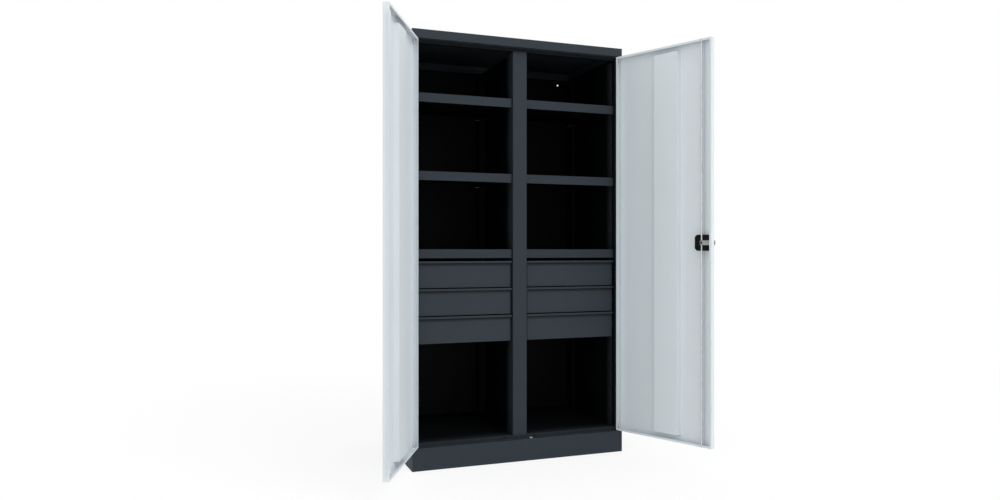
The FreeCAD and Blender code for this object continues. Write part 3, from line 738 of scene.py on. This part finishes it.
@dataclass
class Finishes:
    """Every finish of the cabinet, made once.

    Attributes:
        anthracite: the drawers' paint, with painted shade under the grip lips and beside the post.
        body: the body's paint, with painted shade that darkens it inside.
        recess: the same on the frame behind the doors, with the painted shade reaching out under the cap.
        sill: the same on the floor and its sill, with the painted shade reaching out to the sill.
        back: the same with rows of spot welds.
        grey: the doors' paint.
        welded: the same with spot welds along the stiffeners' feet.
        bare: the lock's bridge and cam.
        bush: the hinge bushes.
        rod: the locking rods.
        zinc: plated steel of slides, shelf clips, hinge pins and the rod's eyelet.
        chrome: the outside handle and its key plug.
        black: the lock, the escutcheon, the grip's caps and the thrust washers.
        black_steel: the lock's screws, the spindle and its clip.
        rubber: the door buffers.
    """

    anthracite: bpy.types.Material = field(init=False)
    body: bpy.types.Material = field(init=False)
    recess: bpy.types.Material = field(init=False)
    sill: bpy.types.Material = field(init=False)
    back: bpy.types.Material = field(init=False)
    grey: bpy.types.Material = field(init=False)
    welded: bpy.types.Material = field(init=False)
    bare: bpy.types.Material = field(init=False)
    bush: bpy.types.Material = field(init=False)
    rod: bpy.types.Material = field(init=False)
    zinc: bpy.types.Material = field(init=False)
    chrome: bpy.types.Material = field(init=False)
    black: bpy.types.Material = field(init=False)
    black_steel: bpy.types.Material = field(init=False)
    rubber: bpy.types.Material = field(init=False)

    def __post_init__(self) -> None:
        """Write the materials."""
        dark: Colour = (0.031, 0.040, 0.049)
        # Lighter edge colour: wear and painted highlight.
        rubbed_and_highlit: Colour = (0.11, 0.125, 0.14)
        back_edge, back_face, back_weld = 0.509, 0.3, 0.06
        edges = tuple(WeldRow((side.value * back_edge, back_face, back_weld)) for side in Side)
        # Painted shade: inside the body, and further out on the frame under the cap and on the sill.
        frame, sill = Inside(front=-0.34, deep=-0.245), Inside(front=-0.34, deep=-0.18)
        coat = PowderCoat("anthracite_body_coat", dark, rubbed_and_highlit, roughness=0.55, gloss=0.1, painted_shade=Inside())
        self.body = coat.material()
        self.recess = replace(coat, name="anthracite_recess_painted_shade", painted_shade=frame).material()
        self.sill = replace(coat, name="anthracite_sill_painted_shade", painted_shade=sill).material()
        self.back = replace(coat, name="anthracite_spot_welded", welds=edges).material()
        # The drawers' paint, with painted shade under each grip lip and beside the post.
        self.anthracite = replace(coat, name="anthracite_powder_coat", gloss=0.14,
                                  painted_shade=PaintedLipShade()).material()
        grey: Colour = (0.68, 0.735, 0.765)
        # The doors' lighter edge colour: wear and painted highlight.
        grey_rubbed_and_highlit: Colour = (0.8, 0.82, 0.83)
        feet_along, foot_weld = (0.195, 0.347), 0.18
        feet = tuple(WeldRow(DoorPlace(side).at(along, DoorPlace.foot, foot_weld))
                     for side in Side for along in feet_along)
        coat = PowderCoat("light_grey_powder_coat", grey, grey_rubbed_and_highlit, wear=0.35, drift=0.05)
        self.grey = coat.material()
        self.welded = replace(coat, name="light_grey_spot_welded", welds=feet).material()
        rolled: Point = (0.04, 0.04, 1.0)
        self.zinc = PlatedSteel("zinc_plated_steel", (0.58, 0.59, 0.60)).material()
        self.bush = PlatedSteel("bright_zinc", (0.8, 0.815, 0.825), roughness=0.46, spangle=0.06).material()
        self.rod = PlatedSteel("drawn_zinc_rod", (0.67, 0.68, 0.69), roughness=0.43, spangle=0.06).material()
        self.bare = PlatedSteel("dull_rolled_steel", (0.36, 0.36, 0.355), roughness=0.42, spangle=0.06,
                                drawn=rolled).material()
        self.chrome = PlatedSteel("satin_chrome", (0.36, 0.37, 0.39), roughness=0.28,
                                  spangle=0.04).material()
        self.black = MouldedPlastic("moulded_black", (0.004, 0.004, 0.0045)).material()
        self.black_steel = MouldedPlastic("blackened_steel", (0.003, 0.003, 0.0033), roughness=0.4,
                                          grain=Grain(2400.0), depth=0.00003, gloss=0.05).material()
        self.rubber = MouldedPlastic("black_rubber", (0.012, 0.012, 0.012), roughness=0.7,
                                     grain=Grain(700.0)).material()


@dataclass
class Dresser:
    """Gives CAD pieces their finish and rounds their edges.

    Attributes:
        nodes: the CAD pieces by name.
        finishes: the finishes.
        merge: how near two corners are to be one.
        fold: the angle from which an edge is rounded.
    """

    nodes: dict[str, bpy.types.Object]
    finishes: Finishes
    merge: float = 0.00001
    fold: float = math.radians(35)

    def dress(self, names: Iterable[str], material: bpy.types.Material, edge: Edge = Edge.PLATE,
              segments: int = 2) -> None:
        """Give pieces a finish and a small edge radius.

        Args:
            names: the CAD pieces.
            material: their finish.
            edge: their edge radius.
            segments: facets of the rounded edge.
        """
        for name in names:
            piece = self.nodes[name]
            piece.data.materials.clear()
            piece.data.materials.append(material)
            if edge is not Edge.SHARP:
                joined = piece.modifiers.new("joined_corners", "WELD")
                joined.merge_threshold = self.merge
                bevel = piece.modifiers.new("rounded_edges", "BEVEL")
                bevel.width = edge.value
                bevel.segments = segments
                bevel.limit_method = "ANGLE"
                bevel.angle_limit = self.fold
                shading = piece.modifiers.new("even_shading", "WEIGHTED_NORMAL")
                shading.keep_sharp = False
            LOG.info("dressed %s in %s", name, material.name)


# Sub-assemblies


@dataclass
class Carcass:
    """The fixed body: panels, post, plinth, uprights, shelves, rails and hinge pins.

    Attributes:
        frame_y: the plane of the frame behind the doors.
        buffer_x: where the door buffers stand, from the middle.
        buffer_heights: heights of the buffers on the head rail and on the sill.
        buffer_radius: a buffer's radius.
        buffer_depth: how far a buffer stands out.
        rod_place: where the lower locking rod enters the plinth, in X and Y.
        rod_hole: the radius of its hole.
        ledge: height of the plinth's ledge.
    """

    frame_y: float = -0.270
    buffer_x: float = 0.075
    buffer_heights: tuple[float, float] = (1.904, 0.1085)
    buffer_radius: float = 0.0045
    buffer_depth: float = 0.0042
    rod_place: tuple[float, float] = (0.0515, -0.280)
    rod_hole: float = 0.007
    ledge: float = 0.100

    def build(self, dresser: Dresser) -> None:
        """Dress the body's pieces and add its small fittings.

        Args:
            dresser: dresses the CAD pieces.
        """
        finishes = dresser.finishes
        panels = ["top_cap", "plinth_front", "plinth_rear", "floor_bearer", "partition_panel", "front_post"]
        shelves = [f"shelf_{side.word}_{level.value}" for side in Side for level in Level]
        # The body's pieces, side panels, head rail, floor and back carry painted shade inside the body.
        dresser.dress(panels + shelves, finishes.body, Edge.SHEET)
        dresser.dress(["side_panel_left", "side_panel_right", "head_rail"], finishes.recess, Edge.SHEET)
        dresser.dress(["floor_panel"], finishes.sill, Edge.SHEET)
        dresser.dress(["back_panel"], finishes.back)
        dresser.dress(["slotted_uprights"], finishes.body, Edge.SHARP)
        dresser.dress(["shelf_clips", "slide_rails"], finishes.zinc, Edge.SMALL, 1)
        dresser.dress(["hinge_pins"], finishes.zinc)
        dresser.dress(["thrust_washers"], finishes.black)
        self._buffers(finishes)
        self._eyelet(finishes)

    def _eyelet(self, finishes: Finishes) -> None:
        """A plated eyelet that lines the plinth's hole for the lower locking rod.

        Args:
            finishes: the finishes.
        """
        wall, gap, brim, soft = 0.0009, 0.0001, 0.002, 0.0006
        bore, barrel, lip = self.rod_hole - wall, self.rod_hole - gap, self.rod_hole + brim
        deep, throat, waist, crown = -0.0022, 0.0008, 0.001, 0.002
        profile = [(bore, deep), (barrel, deep), (barrel, 0.0), (lip, 0.0), (lip, waist),
                   (lip - soft, crown), (bore + soft, crown), (bore, throat), (bore, deep)]
        eyelet = Fitting("rod_eyelet", 32)
        eyelet.turn(profile, (*self.rod_place, self.ledge), (0, 0, 1))
        eyelet.finish("carcass", finishes.zinc)

    def _buffers(self, finishes: Finishes) -> None:
        """Rubber buffers that the doors shut against.

        Args:
            finishes: the finishes.
        """
        shares = ((0.0, 0.0), (1.0, 0.0), (1.0, 0.6), (0.8, 0.9), (0.0, 1.0))
        profile = [(self.buffer_radius * wide, self.buffer_depth * far) for wide, far in shares]
        buffers = Fitting("door_buffers")
        for side in Side:
            for height in self.buffer_heights:
                buffers.turn(profile, (side.value * self.buffer_x, self.frame_y, height), (0, -1, 0))
        buffers.finish("carcass", finishes.rubber)


@dataclass
class Drawers:
    """The six drawers with their fronts, trays and runners."""

    def build(self, dresser: Dresser) -> None:
        """Dress the drawers.

        Args:
            dresser: dresses the CAD pieces.
        """
        finishes = dresser.finishes
        for side in Side:
            for level in Level:
                tail = f"{side.word}_{level.value}"
                sheets = [f"drawer_front_{tail}", f"drawer_tray_{tail}"]
                # Fronts and trays carry the painted shade under the lips.
                dresser.dress(sheets, finishes.anthracite, Edge.SHEET)
                dresser.dress([f"drawer_runners_{tail}"], finishes.zinc, Edge.SMALL, 1)


@dataclass
class Doors:
    """The two doors with their stiffeners, bushes and the closing strip."""

    def build(self, dresser: Dresser) -> None:
        """Dress the doors.

        Args:
            dresser: dresses the CAD pieces.
        """
        finishes = dresser.finishes
        for side in Side:
            dresser.dress([f"door_pan_{side.word}"], finishes.grey, Edge.SHEET)
            dresser.dress([f"door_stiffener_{side.word}"], finishes.welded, Edge.SHEET)
            dresser.dress([f"door_bushes_{side.word}"], finishes.bush)
        dresser.dress(["closing_strip"], finishes.grey)


@dataclass
class Lock:
    """The lock, its rods and the outside handle, on the right door.

    Attributes:
        pivot: the lock's pivot, from the hinge pin along the door.
        height: the pivot's height.
        bridge: the bridge's face, inward from the pin.
        clip_radius: radius of the clip on the spindle.
        grip_half: half the grip's length.
        grip_radius: radius of the grip's round ends.
        cap_length: how far a cap stands out of the grip's end.
        cap_depth: a cap's two faces, inward from the pin.
    """

    pivot: float = 0.4595
    height: float = 1.007
    bridge: float = 0.0175
    clip_radius: float = 0.0049
    grip_half: float = 0.032
    grip_radius: float = 0.013
    cap_length: float = 0.0055
    cap_depth: tuple[float, float] = (-0.0378, -0.0288)

    def build(self, dresser: Dresser) -> None:
        """Dress the lock.

        Args:
            dresser: dresses the CAD pieces.
        """
        finishes = dresser.finishes
        dresser.dress(["lock_case", "lock_cover", "escutcheon"], finishes.black, Edge.MOULDED)
        dresser.dress(["lock_bridge"], finishes.bare, Edge.SHARP)
        dresser.dress(["lock_cam"], finishes.bare, Edge.SMALL)
        dresser.dress(["rod_top", "rod_bottom"], finishes.rod, Edge.SMALL)
        dresser.dress(["lock_screws", "handle_spindle"], finishes.black_steel, Edge.SMALL)
        dresser.dress(["handle_grip", "key_plug"], finishes.chrome, Edge.POLISHED)
        self._clip(finishes)
        self._caps(finishes)

    def _clip(self, finishes: Finishes) -> None:
        """A dished push-on clip that holds the spindle in the bridge.

        Args:
            finishes: the finishes.
        """
        door = DoorPlace(Side.RIGHT)
        rim, soft, ridge, dish = self.clip_radius, 0.0005, 0.0038, 0.0034
        high, low, waist, gap = 0.0012, 0.0007, 0.0006, 0.00005
        profile = [(0.0, 0.0), (rim, 0.0), (rim, waist), (rim - soft, high), (ridge, high), (dish, low),
                   (0.0, low)]
        clip = Fitting("spindle_clip", 32)
        clip.turn(profile, door.at(self.pivot, self.bridge + gap, self.height), tuple(door.inward))
        clip.finish("handle", finishes.black_steel)

    def _caps(self, finishes: Finishes) -> None:
        """Moulded caps on the round ends of the outside grip.

        Args:
            finishes: the finishes.
        """
        low, high = self.cap_depth
        soft, seat, round_end, square_end = 0.0012, 0.0001, 1.0, 0.5
        full, eased = self.cap_length, self.cap_length - soft
        section = ((seat, round_end, low), (eased, square_end, low), (full, square_end, low + soft),
                   (full, square_end, high - soft), (eased, square_end, high), (seat, round_end, high))
        caps = Fitting("grip_caps")
        for way in Side:
            caps.loft([self._bow(way, *corner) for corner in section])
        caps.finish("handle", finishes.black)

    def _bow(self, way: Side, shift: float, power: float, inward: float) -> list[Point]:
        """A row of places round one end of the grip.

        Args:
            way: which end.
            shift: how far the row stands out of the grip's end.
            power: 1 for a round row, less for a squarer one.
            inward: its distance from the pin towards the door's inner face.

        Returns:
            The places, from the lowest to the highest.
        """
        door = DoorPlace(Side.RIGHT)
        steps, sweep, half = 24, math.radians(84), self.grip_radius
        centre, reach = self.grip_half - half, half + shift
        row: list[Point] = []
        for step in range(steps + 1):
            angle = sweep * (2 * step / steps - 1)
            along = self.pivot + way.value * (centre + reach * math.cos(angle) ** power)
            rise = math.copysign(half * abs(math.sin(angle)) ** power, angle)
            row.append(door.at(along, inward, self.height + rise))
        return row


# Studio


@dataclass(frozen=True)
class Lamp:
    """A soft square lamp.

    Attributes:
        name: its name.
        place: where it hangs.
        target: what it points at.
        size: its width.
        power: its power, in watts.
    """

    name: str
    place: Point
    target: Point
    size: float
    power: float

    def hang(self) -> None:
        """Make the lamp."""
        data = bpy.data.lights.new(self.name, "AREA")
        data.size = self.size
        data.energy = self.power
        lamp = bpy.data.objects.new(self.name, data)
        lamp.location = self.place
        lamp.rotation_euler = (Vector(self.target) - Vector(self.place)).to_track_quat("-Z", "Y").to_euler()
        bpy.context.scene.collection.objects.link(lamp)


@dataclass
class Studio:
    """Floor, light and camera.

    Attributes:
        eye: where the camera stands.
        turn: its turn to the right of straight ahead, in degrees.
        lens: its focal length, in millimetres.
        sensor: the sensor's width, in millimetres.
        horizon: strength of the sky's light near the horizon.
        overhead: strength of the sky's light overhead.
        sky_rise: the heights of a ray between which the sky brightens.
        floor_half: half the floor's width.
        floor_cells: the floor's faces along each side.
        floor_paint: the floor's brightness in the light that it sends back.
        shadow_reach: distances between which the floor's shadow fades out.
        shadow_glow: the share of plain white under the shadow.
        lamps: the lamps.
    """

    eye: Point = (-1.347, -3.657, 0.975)
    turn: float = 20.23
    lens: float = 28.19
    sensor: float = 36.0
    horizon: float = 0.6
    overhead: float = 0.92
    sky_rise: tuple[float, float] = (0.15, 0.75)
    floor_half: float = 30.0
    floor_cells: int = 8
    floor_paint: float = 0.86
    shadow_reach: tuple[float, float] = (1.0, 5.0)
    shadow_glow: float = 0.83
    lamps: tuple[Lamp, ...] = (
        Lamp("key_light", (5.4, -12.0, 13.5), (0.0, -0.3, 1.0), 8.0, 900.0),
        Lamp("left_fill", (-8.4, -3.4, 0.9), (0.4, -0.5, 0.9), 4.0, 190.0),
        Lamp("right_fill", (6.0, -5.5, 0.8), (-0.6, -0.5, 0.8), 3.0, 95.0),
    )

    def build(self) -> None:
        """Make the world, the floor, the lamps and the camera."""
        self._world()
        self._floor()
        for lamp in self.lamps:
            lamp.hang()
        self._camera()
        bpy.context.scene.view_settings.view_transform = "Standard"

    def _world(self) -> None:
        """White all round where it is seen, and a soft sky that is brighter overhead on the object."""
        world = bpy.data.worlds.new("studio")
        world.use_nodes = True
        bpy.context.scene.world = world
        shader = Shader(world.node_tree)
        seen = self._seen(shader)
        way = shader.node("ShaderNodeTexCoord", out="Generated")
        rise = shader.node("ShaderNodeSeparateXYZ", None, {0: way}, out="Z").between(*self.sky_rise)
        sky = rise * (self.overhead - self.horizon) + self.horizon
        strength = seen + (1.0 - seen) * sky
        light = shader.node("ShaderNodeBackground", None, {"Color": (1.0, 1.0, 1.0), "Strength": strength})
        shader.node("ShaderNodeOutputWorld", None, {"Surface": light})

    def _seen(self, shader: Shader) -> Wire:
        """Tell the rays that show the background: seen straight, mirrored or through glass.

        Args:
            shader: the shader to write into.

        Returns:
            1 on such rays, 0 on the others.
        """
        straight, mirrored, through = (shader.node("ShaderNodeLightPath", out=name)
                                       for name in ("Is Camera Ray", "Is Glossy Ray", "Is Transmission Ray"))
        return shader.node("ShaderNodeMath", {"operation": "MINIMUM"},
                           {0: straight + mirrored + through, 1: 1.0})

    def _floor(self) -> None:
        """A pale floor that keeps a soft shadow."""
        mesh = bmesh.new()
        cells = self.floor_cells
        bmesh.ops.create_grid(mesh, x_segments=cells, y_segments=cells, size=self.floor_half)
        data = bpy.data.meshes.new("floor")
        mesh.to_mesh(data)
        mesh.free()
        floor = bpy.data.objects.new("floor", data)
        bpy.context.scene.collection.objects.link(floor)
        shader, made = Shader.material("pale_floor")
        seen = self._seen(shader)
        away = shader.node("ShaderNodeVectorMath", {"operation": "LENGTH"}, {0: shader.place()}, out="Value")
        glow = away.between(*self.shadow_reach) * (1.0 - self.shadow_glow) + self.shadow_glow
        white: Colour = (1.0, 1.0, 1.0)
        paint = shader.mix(seen, (self.floor_paint,) * 3, white)
        matt = shader.node("ShaderNodeBsdfDiffuse", None, {"Color": paint})
        plain = shader.node("ShaderNodeEmission", None, {"Color": white, "Strength": 1.0})
        both = shader.node("ShaderNodeMixShader", None, {0: seen * glow, 1: matt, 2: plain})
        shader.node("ShaderNodeOutputMaterial", None, {"Surface": both})
        data.materials.append(made)

    def _camera(self) -> None:
        """The camera at the photograph's place."""
        data = bpy.data.cameras.new("camera")
        data.lens = self.lens
        data.sensor_width = self.sensor
        camera = bpy.data.objects.new("camera", data)
        camera.location = self.eye
        level, turn = math.radians(90), math.radians(-self.turn)
        camera.rotation_euler = (level, 0.0, turn)
        bpy.context.scene.collection.objects.link(camera)
        bpy.context.scene.camera = camera


def main() -> None:
    """Load the frame, dress it and light it."""
    logging.basicConfig(level=logging.INFO, format="%(message)s")
    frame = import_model()
    dresser = Dresser(frame["nodes"], Finishes())
    for assembly in (Carcass(), Drawers(), Doors(), Lock()):
        assembly.build(dresser)
        LOG.info("%s done", type(assembly).__name__)
    Studio().build()


if __name__ == "__main__":
    main()
